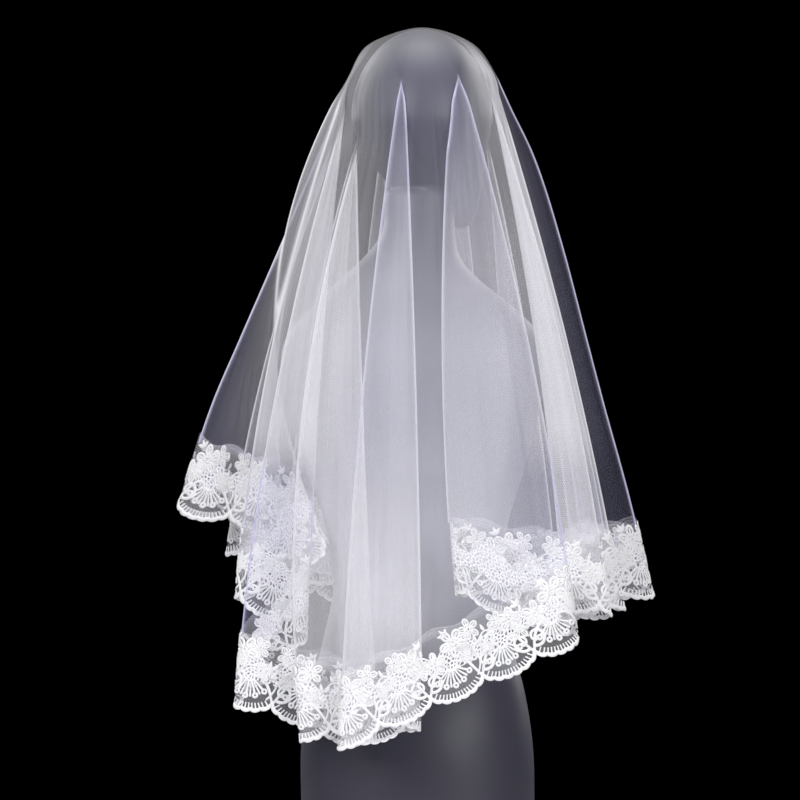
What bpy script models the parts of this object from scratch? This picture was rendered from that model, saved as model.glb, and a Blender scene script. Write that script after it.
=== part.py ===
"""Bridal drop veil with a lace edge, worn by a limbless display form.

The veil is one round of net laid over the head. It hangs in folds all round,
and its hem carries a scalloped lace edging. Every height below the crown has
one closed plan curve. Its two halves, behind and in front, run from the left
outline to the right one through fold edges, where the cloth turns back on
itself. The tables give each fold edge a row.

Lengths in the tables are millimetres. x is positive to the right for someone
standing behind the form, y is positive the way the form faces, and a drop is
measured down from the crown.
"""

import math

import bmesh
import bpy
import numpy as np

MM = 0.001

# Driving sizes
CROWN_HEIGHT = 1000.0  # crown of the veil above the surface the form stands on
WALL = 1.0  # stand-in thickness of the net
LACE_WALL = 1.2
LACE_EDGE_WALL = 2.0  # the corded scallop edge stands a little proud
SEAM_GAP = 0.3
LACE_DEPTH = 82.0  # from its straight top to the points between scallops
LACE_LAP = 12.0  # how far it lies over the edge of the net
SCALLOP_PITCH = 68.0
SCALLOP_DEPTH = 15.0
SCALLOP_SQUARENESS = 1.2  # 1 is a half circle's arc, and more is a pointed one
CORD_BAND = 14.0  # width of the thicker corded edge

# The plan curve turns from a plain oval round the head into folds between these drops.
FOLDS_START = 26.0
FOLDS_FULL = 175.0
FOLD_ROUNDNESS = 0.8  # share of a fold's depth that is spent in its rounded edge

# Overall plan of the veil: half sizes of the oval at each drop.
SECTION_COLUMNS = ("drop", "left", "right", "back", "front")
SECTIONS = (
    (0, 0, 0, 0, 0),
    (6, 33, 34, 35, 35),
    (22, 67, 65, 67, 67),
    (50, 84, 85, 89, 91),
    (100, 101, 109, 106, 111),
    (150, 123, 133, 112, 122),
    (265, 172, 170, 130, 140),
    (380, 222, 200, 154, 157),
    (445, 250, 217, 167, 170),
    (578, 293, 253, 186, 194),
    (678, 322, 276, 200, 212),
    (860, 368, 318, 220, 240),
)

# One row for each fold edge, from the left outline to the right one.
# A "right" edge is where the cloth turns back to the left, and a "left" edge
# is where it turns to the right again. bow is how far the line stands off the
# straight from root to hem, halfway down. The turns are degrees round the
# oval, where the edge starts at the head and where it hangs at the hem.
FOLD_COLUMNS = ("name", "root_x", "root_drop", "hem_x", "hem_drop", "bow", "head_turn", "hem_turn")
BACK_FOLDS = (
    ("back 1 right", -84, 49, -116, 604, -75, -82, -78),
    ("back 1 left", -84, 49, -221, 674, -23, -75, -68),
    ("back 2 right", -92, 98, -134, 712, -7, -66, -60),
    ("back 2 left", -92, 98, -221, 796, -20, -58, -52),
    ("back 3 right", -78, 134, -52, 842, -4, -46, -44),
    ("back 3 left", -74, 134, -145, 836, -36, -38, -36),
    ("back 4 right", -22, 35, 0, 822, 4, -22, -27),
    ("back 4 left", -22, 35, -98, 847, -12, -14, -17),
    ("back 5 right", 38, 29, 182, 720, 16, 26, 25),
    ("back 5 left", 38, 29, 36, 662, -14, 34, 38),
    ("back 6 right", 79, 70, 222, 690, 16, 48, 50),
    ("back 6 left", 79, 70, 168, 694, 12, 55, 58),
    ("back 7 right", 92, 80, 238, 682, 10, 66, 67),
    ("back 7 left", 88, 77, 196, 678, 12, 74, 75),
)
FRONT_FOLDS = (
    ("front 1 right", -88, 100, -158, 598, -45, -82, -77),
    ("front 1 left", -88, 100, -233, 619, -18, -74, -66),
    ("front 2 right", -75, 120, -86, 646, -14, -59, -55),
    ("front 2 left", -75, 120, -164, 667, -20, -51, -44),
    ("front 3 right", -45, 110, -20, 690, -4, -32, -33),
    ("front 3 left", -45, 110, -92, 700, -10, -24, -21),
    ("front 4 right", 42, 110, 94, 710, 6, 14, 16),
    ("front 4 left", 42, 110, 22, 703, 0, 22, 28),
    ("front 5 right", 75, 115, 166, 690, 12, 42, 42),
    ("front 5 left", 75, 115, 100, 682, 8, 50, 54),
    ("front 6 right", 92, 110, 232, 676, 14, 68, 66),
    ("front 6 left", 92, 110, 184, 673, 10, 76, 77),
)
LEFT_HEM_DROP = 568.0  # where the hem meets the left and the right outline
RIGHT_HEM_DROP = 668.0

# Columns of points within one stretch of cloth between two fold edges.
STRETCH_STEPS = (0.0, 0.18, 0.5, 0.82)
CROWN_DROPS = (0.0, 2.5, 9.0, 21.0, 40.0, 66.0, 100.0, 135.0, 172.0, 212.0)
SKIRT_ROWS = 6
COLUMNS_PER_SCALLOP = 4
LEAST_COLUMN_GAP = 4.0
LEAST_MITRE = 0.7  # keeps the wall from growing a long point in a sharp bend
LINE_RUN_OUT = 1.05  # fold lines go on this far, for the scallops below the hem line
SHARP_ANGLE = math.radians(50)

# Sections of the display form, from the neck down to its flat foot.
FORM_COLUMNS = ("drop", "centre_x", "half_width", "back", "front")
FORM_SECTIONS = (
    (196, -3, 42, 38, 52),
    (250, -5, 46, 45, 48),
    (275, -12, 58, 52, 50),
    (300, -15, 82, 60, 52),
    (335, -12, 122, 68, 56),
    (365, -10, 150, 76, 64),
    (400, -10, 160, 83, 76),
    (450, -9, 152, 86, 90),
    (520, -8, 134, 82, 97),
    (600, -7, 109, 72, 84),
    (660, -6, 100, 67, 76),
    (730, -6, 112, 80, 80),
    (800, -6, 130, 99, 86),
    (860, -6, 139, 108, 88),
    (930, -5, 140, 106, 86),
    (CROWN_HEIGHT, -5, 138, 100, 82),
)
FORM_SIDES = 32
TALLEST_BAND = 45.0  # a taller step between two sections gets a row in its middle
HEAD_SIDES = 32
HEAD_ROWS = 18
HEAD_WIDEST_DROP = 110.0
HEAD_HALF_WIDTH = 85.0
HEAD_HALF_DEPTH = 98.0
HEAD_CHIN_DROP = 240.0
HEAD_TURN = math.radians(35)  # the head looks a little to its right
CHIN_REACH = 80.0  # how far the chin lies forward of the head's middle
CHIN_TAPER = 0.30


def smooth_step(t):
    """Rises from 0 to 1 with flat ends: 3t^2 - 2t^3."""
    t = np.clip(t, 0.0, 1.0)
    return t * t * (3.0 - 2.0 * t)


def smooth_through(x_known, y_known, x):
    """Cubic Hermite curve through the known points, with central slopes."""
    x_known = np.asarray(x_known, float)
    y_known = np.asarray(y_known, float)
    slopes = np.gradient(y_known, x_known)
    x = np.clip(x, x_known[0], x_known[-1])
    i = np.clip(np.searchsorted(x_known, x, side="right") - 1, 0, len(x_known) - 2)
    step = x_known[i + 1] - x_known[i]
    t = (x - x_known[i]) / step
    start = (1 + 2 * t) * (1 - t) ** 2 * y_known[i] + t * (1 - t) ** 2 * slopes[i] * step
    end = t * t * (3 - 2 * t) * y_known[i + 1] + t * t * (t - 1) * slopes[i + 1] * step
    return start + end


def columns_of(names, rows):
    """A table's columns as arrays, by their names."""
    return {name: np.array([row[k] for row in rows]) for k, name in enumerate(names)}


def oval_half_sizes(drop):
    """Half sizes left, right, back and front at each drop, in mm. They are read
    against the square root of the drop, which makes the crown round."""
    table = columns_of(SECTION_COLUMNS, SECTIONS)
    root = np.sqrt(table["drop"])
    return [smooth_through(root, table[side], np.sqrt(drop)) for side in SECTION_COLUMNS[1:]]


def fold_edges(folds, hem_drops_at_ends):
    """Arrays of the fold edges, with the left and the right outline at the ends."""
    edges = columns_of(FOLD_COLUMNS, folds)
    left_drop, right_drop = hem_drops_at_ends
    edges["line_end"] = edges["hem_drop"]
    edges["hem_drop"] = np.concatenate([[left_drop], edges["hem_drop"], [right_drop]])
    for turn in ("head_turn", "hem_turn"):
        edges[turn] = np.concatenate([[-90.0], edges[turn], [90.0]])
    return edges


def edge_x(edges, drop, left, right):
    """x of every edge at one drop for each column: outline, fold edges, outline."""
    length = edges["line_end"] - edges["root_drop"]
    t = np.clip((drop - edges["root_drop"]) / length, 0, LINE_RUN_OUT)
    straight = edges["root_x"] + (edges["hem_x"] - edges["root_x"]) * t
    inner = straight + 4 * edges["bow"] * t * (1 - t)
    return np.concatenate([[-left], inner, [right]])


def half_curve(edges, stretch, along, drop, depth_side):
    """Points of one half of the veil. stretch says between which two fold edges
    a column lies, along (0 to 1) where in that stretch, and drop its depth.

    Folded: x swings from edge to edge as (1 - cos) / 2 while the turn round
    the oval advances mostly in the rounded edges. Plain: both follow the oval.
    The two are mixed as the cloth leaves the head."""
    left, right, back, front = oval_half_sizes(drop)
    depth = back if depth_side < 0 else front
    swing = (1 - np.cos(math.pi * along)) / 2
    advance = along + FOLD_ROUNDNESS / (2 * math.pi) * np.sin(2 * math.pi * along)
    x_edges = np.array([edge_x(edges, d, a, b) for d, a, b in zip(drop, left, right)])
    column = np.arange(len(drop))
    x_from = x_edges[column, stretch]
    x_to = x_edges[column, stretch + 1]
    turn_from = edges["hem_turn"][stretch]
    turn_to = edges["hem_turn"][stretch + 1]
    folded_turn = np.radians(turn_from + (turn_to - turn_from) * advance)
    folded_x = x_from + (x_to - x_from) * swing
    head_from = edges["head_turn"][stretch]
    head_to = edges["head_turn"][stretch + 1]
    plain_turn = np.radians(head_from + (head_to - head_from) * along)
    plain_x = np.sin(plain_turn) * np.where(plain_turn < 0, left, right)
    share = smooth_step((drop - FOLDS_START) / (FOLDS_FULL - FOLDS_START))
    x = (1 - share) * plain_x + share * folded_x
    turn_y = (1 - share) * np.cos(plain_turn) + share * np.cos(folded_turn)
    return np.stack([x, depth_side * depth * turn_y, CROWN_HEIGHT - drop], axis=-1)


def half_hem(edges, stretch, along):
    """Drop of the hem's base line at each column."""
    swing = (1 - np.cos(math.pi * along)) / 2
    return edges["hem_drop"][stretch] * (1 - swing) + edges["hem_drop"][stretch + 1] * swing


class Veil:
    """The veil's surface as a function of a column and a drop."""

    def __init__(self):
        ends = (LEFT_HEM_DROP, RIGHT_HEM_DROP)
        self.back = fold_edges(BACK_FOLDS, ends)
        self.front = fold_edges(FRONT_FOLDS, ends)
        steps = np.array(STRETCH_STEPS)
        back_stretches = len(BACK_FOLDS) + 1
        front_stretches = len(FRONT_FOLDS) + 1
        self.back_stretch = np.repeat(np.arange(back_stretches), len(steps))
        self.back_along = np.tile(steps, back_stretches)
        self.front_stretch = np.repeat(np.arange(front_stretches)[::-1], len(steps))
        self.front_along = np.tile(1 - steps, front_stretches)
        self.hem_drop = np.concatenate(
            [
                half_hem(self.back, self.back_stretch, self.back_along),
                half_hem(self.front, self.front_stretch, self.front_along),
            ]
        )

    def row(self, drop):
        """One closed row of points, with a drop for each column."""
        split = len(self.back_stretch)
        back = half_curve(self.back, self.back_stretch, self.back_along, drop[:split], -1)
        front = half_curve(self.front, self.front_stretch, self.front_along, drop[split:], 1)
        return np.concatenate([back, front])


def unit(vectors):
    """Each vector divided by its own length."""
    length = np.linalg.norm(vectors, axis=-1, keepdims=True)
    return vectors / np.maximum(length, 1e-9)


def outward_normals(grid):
    """Normals of a grid of rows by closed columns, pointing off the outside. At
    a bend they halve the angle between the two sides, and are longer there, as
    a mitre is, so that the wall keeps its thickness."""
    before = unit(grid - np.roll(grid, 1, axis=1))
    after = unit(np.roll(grid, -1, axis=1) - grid)
    across = before + after
    half_turn = np.linalg.norm(across, axis=-1, keepdims=True) / 2
    down = np.gradient(grid, axis=0)
    return unit(np.cross(down, across)) / np.maximum(half_turn, LEAST_MITRE)


def wall_faces(middle, pole):
    """Triangles of a closed wall: outer grid, inner grid, and the rims between
    them. Each small field is split along the shorter diagonal of the middle
    surface, the same way outside and inside, so the two can't cross where it
    is twisted. With a pole, row 0 of each grid is one point."""
    rows, columns = middle.shape[:2]
    index = np.arange(rows * columns).reshape(rows, columns)
    if pole:
        index = np.maximum(index - (columns - 1), 0)
    count = index[-1, -1] + 1
    right = np.roll(index, -1, axis=1)
    ahead = np.roll(middle, -1, axis=1)
    falling = np.linalg.norm(ahead[1:] - middle[:-1], axis=-1)
    rising = np.linalg.norm(ahead[:-1] - middle[1:], axis=-1)
    a, b, c, d = index[:-1], index[1:], right[1:], right[:-1]
    first = np.where((rising < falling)[..., None], np.stack([a, b, d], -1), np.stack([a, b, c], -1))
    second = np.where((rising < falling)[..., None], np.stack([b, c, d], -1), np.stack([a, c, d], -1))
    if pole:
        first[0] = np.stack([a, b, c], -1)[0]
        second = second[1:]
    outer = np.concatenate([first.reshape(-1, 3), second.reshape(-1, 3)])
    inner = outer[:, ::-1] + count
    faces = outer.tolist() + inner.tolist()
    rims = [(index[-1], False)] if pole else [(index[-1], False), (index[0], True)]
    for rim, upper in rims:
        after = np.roll(rim, -1)
        strip = np.stack([rim, rim + count, after + count, after], axis=-1)
        faces += (strip[:, ::-1] if upper else strip).tolist()
    return faces


def new_object(name, points_mm, faces, material):
    """A mesh object from points in mm, shaded smooth, with its faces turned outwards."""
    mesh = bpy.data.meshes.new(name)
    mesh.from_pydata((points_mm * MM).tolist(), [], faces)
    shape = bmesh.new()
    shape.from_mesh(mesh)
    bmesh.ops.recalc_face_normals(shape, faces=shape.faces)
    shape.to_mesh(mesh)
    shape.free()
    mesh.shade_smooth()
    mesh.set_sharp_from_angle(angle=SHARP_ANGLE)
    mesh.materials.append(material)
    made = bpy.data.objects.new(name, mesh)
    bpy.context.scene.collection.objects.link(made)
    return made


def plain_material(name, colour, roughness):
    """A Principled BSDF with one colour and roughness."""
    material = bpy.data.materials.new(name)
    material.use_nodes = True
    shader = material.node_tree.nodes["Principled BSDF"]
    shader.inputs["Base Color"].default_value = (*colour, 1.0)
    shader.inputs["Roughness"].default_value = roughness
    return material


def cloth_grid(veil):
    """Mid surface of net and lace: rows of equal drop over the head, then rows
    that share out each column's length down to the lace, then the lace's rows."""
    top = veil.hem_drop - LACE_DEPTH
    drops = [np.full(len(top), drop) for drop in CROWN_DROPS]
    start = CROWN_DROPS[-1]
    for k in range(1, SKIRT_ROWS + 1):
        drops.append(start + (top - start) * k / SKIRT_ROWS)
    drops.append(top + LACE_LAP)
    drops.append(veil.hem_drop - CORD_BAND)
    drops.append(veil.hem_drop)
    drops.append(veil.hem_drop + SCALLOP_DEPTH)
    grid = np.stack([veil.row(drop) for drop in drops])
    normals = outward_normals(grid)
    normals[0] = (0.0, 0.0, 1.0)
    return grid, normals


def make_tulle(grid, normals, shift):
    """The net as a wall: its mid surface moved out and in by half a thickness."""
    rows = len(CROWN_DROPS) + SKIRT_ROWS + 1
    grid = grid[:rows]
    sides = []
    for offset in (WALL / 2, -WALL / 2):
        moved = grid + normals[:rows] * offset + shift
        sides.append(moved[0, :1])
        sides.append(moved[1:].reshape(-1, 3))
    faces = wall_faces(grid, pole=True)
    material = plain_material("nylon_tulle", (0.86, 0.86, 0.92), 0.6)
    return new_object("tulle", np.concatenate(sides), faces, material)


def lace_columns(hem, pitch):
    """Where the lace has its columns, as fractional indices of the veil's columns:
    all of the veil's own, so that every bend is kept, and the points of each scallop."""
    closed = np.concatenate([hem, hem[:1]])
    length = np.concatenate([[0], np.cumsum(np.linalg.norm(np.diff(closed, axis=0), axis=1))])
    scallops = max(1, round(length[-1] / pitch))
    own = length[:-1]
    wanted = np.arange(scallops * COLUMNS_PER_SCALLOP) * length[-1] / (scallops * COLUMNS_PER_SCALLOP)
    ahead = np.searchsorted(length, wanted, side="right")
    gap = np.minimum(np.abs(wanted - length[ahead - 1]), np.abs(length[ahead] - wanted))
    places = np.sort(np.concatenate([own, wanted[gap > LEAST_COLUMN_GAP]]))
    index = np.interp(places, length, np.arange(len(length)))
    return index, places / length[-1] * scallops


def between_columns(grid, index):
    """Points between a closed grid's columns, on its own flat faces."""
    closed = np.concatenate([grid, grid[:, :1]], axis=1)
    low = np.minimum(index.astype(int), grid.shape[1] - 1)
    t = (index - low)[None, :, None]
    return closed[:, low] * (1 - t) + closed[:, low + 1] * t


def scallop_drop(phase):
    """How far the edge hangs below the points between scallops: a round arc."""
    across = 2 * np.mod(phase, 1.0) - 1
    return SCALLOP_DEPTH * np.sqrt(np.clip(1 - across**2, 0, 1)) ** SCALLOP_SQUARENESS


def lace_wall(grid, normals):
    """Points and faces of the edging, laid on the net's own points moved out by
    its wall and the seam gap. Its last two rows make the thicker corded edge."""
    first = len(CROWN_DROPS) + SKIRT_ROWS - 1
    index, phase = lace_columns(grid[first + 3], SCALLOP_PITCH)
    top, lap, cord, base, low = between_columns(grid[first:], index)
    off = between_columns(normals[first:], index)
    hang = (low - base) * (scallop_drop(phase) / SCALLOP_DEPTH)[:, None]
    lines = (top, lap, cord + hang, base + hang)
    walls = (LACE_WALL, LACE_WALL, LACE_EDGE_WALL, LACE_EDGE_WALL)
    inner = WALL / 2 + SEAM_GAP
    outer = [line + n * (inner + wall) for line, n, wall in zip(lines, off, walls)]
    inside = [line + n * inner for line, n in zip(lines, off)]
    return np.concatenate(outer + inside), wall_faces(np.stack(lines), pole=False)


def make_lace(points, faces, shift):
    """The edging as one closed band."""
    material = plain_material("cotton_lace", (0.93, 0.93, 0.95), 0.75)
    return new_object("lace_edging", points + shift, faces, material)


def ring(centre_x, half_width, back, front, sides):
    """One oval ring, with its own half depth behind and in front."""
    turn = 2 * math.pi * np.arange(sides) / sides
    depth = np.where(np.cos(turn) > 0, back, front)
    return np.stack([centre_x + half_width * np.sin(turn), -depth * np.cos(turn)], axis=-1)


def loft_faces(rows, sides):
    """Side faces between rings, and a flat cap on each end."""
    faces = []
    for r in range(rows - 1):
        for c in range(sides):
            d = (c + 1) % sides
            faces.append((r * sides + c, (r + 1) * sides + c, (r + 1) * sides + d, r * sides + d))
    faces.append(tuple(range(sides)))
    faces.append(tuple(range((rows - 1) * sides, rows * sides)))
    return faces


def trunk():
    """Points and faces of neck, shoulders and trunk, lofted through the form's sections."""
    table = columns_of(FORM_COLUMNS, FORM_SECTIONS)
    known = table["drop"]
    levels = []
    for first, second in zip(known[:-1], known[1:]):
        levels += [first, (first + second) / 2] if second - first > TALLEST_BAND else [first]
    levels.append(known[-1])
    points = []
    for drop in levels:
        sizes = [float(smooth_through(known, table[name], drop)) for name in FORM_COLUMNS[1:]]
        flat = ring(*sizes, FORM_SIDES)
        points.append(np.column_stack([flat, np.full(FORM_SIDES, CROWN_HEIGHT - drop)]))
    return np.concatenate(points), loft_faces(len(levels), FORM_SIDES)


def head_points():
    """A smooth egg: a squashed sphere, whose lower half narrows and moves forward to the chin."""
    top = WALL / 2 + SEAM_GAP
    turn = 2 * math.pi * np.arange(HEAD_SIDES) / HEAD_SIDES
    points = [np.array([[0.0, 0.0, CROWN_HEIGHT - top]])]
    for k in range(1, HEAD_ROWS):
        angle = math.pi * k / HEAD_ROWS
        below = max(0.0, -math.cos(angle))
        reach = HEAD_CHIN_DROP - HEAD_WIDEST_DROP if below else HEAD_WIDEST_DROP - top
        drop = HEAD_WIDEST_DROP - reach * math.cos(angle)
        size = math.sin(angle) * (1 - CHIN_TAPER * below)
        forward = CHIN_REACH * below**2
        x = forward * math.sin(HEAD_TURN) + HEAD_HALF_WIDTH * size * np.sin(turn)
        y = forward * math.cos(HEAD_TURN) - HEAD_HALF_DEPTH * size * np.cos(turn)
        points.append(np.column_stack([x, y, np.full(HEAD_SIDES, CROWN_HEIGHT - drop)]))
    chin_x = CHIN_REACH * math.sin(HEAD_TURN)
    chin_y = CHIN_REACH * math.cos(HEAD_TURN)
    points.append(np.array([[chin_x, chin_y, CROWN_HEIGHT - HEAD_CHIN_DROP]]))
    return np.concatenate(points)


def head_faces():
    """Fans at the two poles and quads between the rings."""
    faces = []
    last = 1 + (HEAD_ROWS - 1) * HEAD_SIDES
    for c in range(HEAD_SIDES):
        d = (c + 1) % HEAD_SIDES
        faces.append((0, 1 + c, 1 + d))
        for r in range(HEAD_ROWS - 2):
            upper = 1 + r * HEAD_SIDES
            lower = upper + HEAD_SIDES
            faces.append((upper + c, lower + c, lower + d, upper + d))
        bottom = last - HEAD_SIDES
        faces.append((bottom + c, last, bottom + d))
    return faces


def make_form(shift):
    """The display form: the trunk joined with the egg-shaped head."""
    material = plain_material("painted_form", (0.2, 0.2, 0.25), 0.45)
    points, faces = trunk()
    form = new_object("display_form", points + shift, faces, material)
    head = new_object("head_union", head_points() + shift, head_faces(), material)
    head.hide_render = True
    head.display_type = "WIRE"
    join = form.modifiers.new("Head", "BOOLEAN")
    join.operation = "UNION"
    join.object = head
    return form


def main():
    for old in list(bpy.data.objects):
        bpy.data.objects.remove(old, do_unlink=True)
    grid, normals = cloth_grid(Veil())
    lace_points, lace_faces = lace_wall(grid, normals)
    low = lace_points.min(axis=0)
    high = lace_points.max(axis=0)
    # The hem is the widest thing, so its middle goes over the origin.
    shift = np.array([-(low[0] + high[0]) / 2, -(low[1] + high[1]) / 2, 0.0])
    make_tulle(grid, normals, shift)
    make_lace(lace_points, lace_faces, shift)
    make_form(shift)


main()
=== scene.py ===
# %% [markdown]
# # A bridal drop veil with a lace edge, on a display form
#
# A drop veil is one round of soft net. It is laid over the head with no comb or
# seam, and its own weight pulls it into folds that grow from the head to the hem.
# A band of embroidered lace weights the hem. This lesson dresses a finished CAD
# model of it: the frame gives sizes and places, and we add fine cloth, thread,
# paint and light.

# %% Load the frame
import math

import bpy
import numpy as np
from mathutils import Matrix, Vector


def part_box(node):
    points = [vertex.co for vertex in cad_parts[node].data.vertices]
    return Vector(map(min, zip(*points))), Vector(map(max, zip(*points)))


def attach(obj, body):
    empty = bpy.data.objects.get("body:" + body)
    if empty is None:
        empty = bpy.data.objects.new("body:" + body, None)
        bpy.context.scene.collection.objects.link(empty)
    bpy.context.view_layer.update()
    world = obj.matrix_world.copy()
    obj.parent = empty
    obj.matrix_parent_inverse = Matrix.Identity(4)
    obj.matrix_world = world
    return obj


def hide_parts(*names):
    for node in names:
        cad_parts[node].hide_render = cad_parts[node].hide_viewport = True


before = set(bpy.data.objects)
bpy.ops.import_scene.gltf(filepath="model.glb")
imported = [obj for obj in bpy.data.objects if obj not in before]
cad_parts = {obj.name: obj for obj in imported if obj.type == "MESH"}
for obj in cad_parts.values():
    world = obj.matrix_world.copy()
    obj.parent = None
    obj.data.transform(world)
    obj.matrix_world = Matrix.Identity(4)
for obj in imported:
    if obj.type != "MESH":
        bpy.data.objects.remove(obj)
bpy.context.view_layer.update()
MM = 0.001
scene = bpy.context.scene

# %% [markdown]
# ## Colours, nodes and meshes
#
# A colour picked on a screen is an sRGB code, but light adds up linearly, so each
# code is turned into linear numbers before a shader gets it. Two more helpers keep
# the lesson short: one adds a shader node with its settings and links, and one
# turns arrays of points and faces into a mesh.

# %% Helpers
def linear(code):
    """sRGB hex code to linear RGBA: value / 12.92 where it is under 0.04045,
    and ((value + 0.055) / 1.055) to the power 2.4 above that."""
    value = np.array([int(code[k : k + 2], 16) for k in (1, 3, 5)]) / 255
    low = value / 12.92
    high = ((value + 0.055) / 1.055) ** 2.4
    return (*np.where(value < 0.04045, low, high).tolist(), 1.0)


def add_node(tree, kind, inputs=(), **settings):
    """One node. Settings are its properties, and inputs gives a value or
    another node's output for each socket, by name or number."""
    node = tree.nodes.new(kind)
    for name, value in settings.items():
        setattr(node, name, value)
    for name, value in dict(inputs).items():
        if isinstance(value, bpy.types.NodeSocket):
            tree.links.new(value, node.inputs[name])
        else:
            node.inputs[name].default_value = value
    return node


def new_material(name):
    """An empty material with its Principled BSDF: (material, tree, shader)."""
    material = bpy.data.materials.new(name)
    material.use_nodes = True
    tree = material.node_tree
    return material, tree, tree.nodes["Principled BSDF"]


def unit(vectors):
    """Each vector divided by its own length."""
    length = np.linalg.norm(vectors, axis=-1, keepdims=True)
    return vectors / np.maximum(length, 1e-9)


def grid_faces(rows, columns, closed):
    """Quads of a grid of points, which may close on itself along its columns."""
    index = np.arange(rows * columns).reshape(rows, columns)
    after = np.roll(index, -1, axis=1)
    if not closed:
        index, after = index[:, :-1], after[:, :-1]
    quads = np.stack([index[:-1], index[1:], after[1:], after[:-1]], axis=-1)
    return quads.reshape(-1, 4)


def new_piece(name, points_mm, faces, material, uv_maps=(), values=()):
    """A smooth-shaded mesh object that rides on the frame. uv_maps and values give
    each point's place in a named UV map, and its named number."""
    mesh = bpy.data.meshes.new(name)
    mesh.from_pydata((points_mm * MM).tolist(), [], faces.tolist())
    mesh.shade_smooth()
    corner = np.empty(len(mesh.loops), dtype=np.int32)
    mesh.loops.foreach_get("vertex_index", corner)
    for uv_name, uv in dict(uv_maps).items():
        layer = mesh.uv_layers.new(name=uv_name)
        layer.uv.foreach_set("vector", uv[corner].astype(np.float32).ravel())
    for value_name, value in dict(values).items():
        attribute = mesh.attributes.new(value_name, "FLOAT", "POINT")
        attribute.data.foreach_set("value", value.astype(np.float32))
    mesh.materials.append(material)
    piece = bpy.data.objects.new(name, mesh)
    scene.collection.objects.link(piece)
    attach(piece, "root")
    print(f"{name}: {len(points_mm)} points, {len(faces)} faces")
    return piece


print("mid grey #808080 in linear light:", round(linear("#808080")[0], 3))


# %% [markdown]
# ## The veil as one surface
#
# Seen from above, the hanging net is one closed curve that turns back on itself
# at each fold. We write that curve down once: a table gives every fold edge a
# root near the head, an end on the hem and a turn round the body. Between two
# fold edges the cloth swings over in a smooth wave. Height then only says how
# far the folds have opened. The same function places net, lace and stitches, so
# they can't drift apart.

# %% Sizes of the veil, in millimetres
CROWN_HEIGHT = 1000.0
LACE_DEPTH = 82.0
LACE_LAP = 12.0
SCALLOP_PITCH = 68.0
SCALLOP_DEPTH = 15.0
SCALLOP_SQUARENESS = 1.2
LEFT_HEM_DROP = 568.0
RIGHT_HEM_DROP = 668.0
# The cloth lies plain on the crown down to the first drop, and its folds are fully
# open from the second one on.
FOLDS_START = 26.0
FOLDS_FULL = 95.0
FOLD_ROUNDNESS = 0.8
LINE_RUN_OUT = 1.05

# The veil's oval at each drop: drop, then half sizes left, right, back and front.
SECTIONS = (
    (0, 0, 0, 0, 0),
    (6, 33, 34, 35, 35),
    (22, 67, 65, 67, 67),
    (50, 84, 85, 89, 91),
    (100, 101, 109, 106, 111),
    (150, 123, 133, 112, 122),
    (265, 172, 170, 130, 140),
    (380, 222, 200, 154, 157),
    (445, 250, 217, 167, 170),
    (578, 293, 253, 186, 194),
    (678, 322, 276, 200, 212),
    (860, 368, 318, 220, 240),
)

# Cover is the share of one layer that is thread, halfway down and at the hem. It
# is small in plain cloth, and large where fine gathers crowd the threads together.
FOLD_COLUMNS = (
    "root_x", "root_drop", "hem_x", "hem_drop", "bow", "head_turn", "hem_turn", "cover", "hem_cover"
)
LEFT_OUTLINE = (0, 0, 0, LEFT_HEM_DROP, 0, -90, -90, 0.06, 0.06)
RIGHT_OUTLINE = (0, 0, 0, RIGHT_HEM_DROP, 0, 90, 90, 0.03, 0.03)
BACK_FOLDS = (
    (-84, 49, -116, 604, -75, -82, -78, 0.20, 0.12),
    (-84, 49, -221, 674, -23, -75, -68, 0.36, 0.10),
    (-92, 98, -134, 712, -7, -66, -60, 0.35, 0.04),
    (-92, 98, -221, 796, -20, -58, -52, 0.24, 0.04),
    (-78, 134, -52, 842, -4, -46, -44, 0.24, 0.26),
    (-74, 134, -145, 836, -36, -38, -36, 0.22, 0.14),
    (-22, 35, 0, 822, 4, -22, -27, 0.12, 0.32),
    (-22, 35, -98, 847, -12, -14, -17, 0.10, 0.18),
    (38, 29, 182, 720, 16, 26, 25, 0.11, 0.06),
    (38, 29, 36, 662, -14, 34, 38, 0.12, 0.18),
    (79, 70, 222, 690, 16, 48, 50, 0.28, 0.22),
    (79, 70, 168, 694, 12, 55, 58, 0.66, 0.32),
    (92, 80, 238, 682, 10, 66, 67, 0.42, 0.22),
    (88, 77, 196, 678, 12, 74, 75, 0.12, 0.05),
)
FRONT_FOLDS = (
    (-88, 100, -158, 598, -45, -82, -77, 0.06, 0.05),
    (-88, 100, -233, 619, -18, -74, -66, 0.16, 0.07),
    (-75, 120, -86, 646, -14, -59, -55, 0.18, 0.08),
    (-75, 120, -164, 667, -20, -51, -44, 0.20, 0.08),
    (-45, 110, -20, 690, -4, -32, -33, 0.20, 0.10),
    (-45, 110, -92, 700, -10, -24, -21, 0.20, 0.10),
    (42, 110, 94, 710, 6, 14, 16, 0.20, 0.10),
    (42, 110, 22, 703, 0, 22, 28, 0.20, 0.10),
    (75, 115, 166, 690, 12, 42, 42, 0.20, 0.10),
    (75, 115, 100, 682, 8, 50, 54, 0.20, 0.10),
    (92, 110, 232, 676, 14, 68, 66, 0.16, 0.08),
    (92, 110, 184, 673, 10, 76, 77, 0.05, 0.04),
)
ROUND = (LEFT_OUTLINE, *BACK_FOLDS, RIGHT_OUTLINE, *FRONT_FOLDS[::-1], LEFT_OUTLINE)
FOLDS = {name: np.array([row[k] for row in ROUND], float) for k, name in enumerate(FOLD_COLUMNS)}
STRETCHES = len(ROUND) - 1
BACK_STRETCHES = len(BACK_FOLDS) + 1
LEFT_POSTS = (0, STRETCHES)
RIGHT_POST = BACK_STRETCHES
print("stretches of cloth between fold edges:", STRETCHES)


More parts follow.
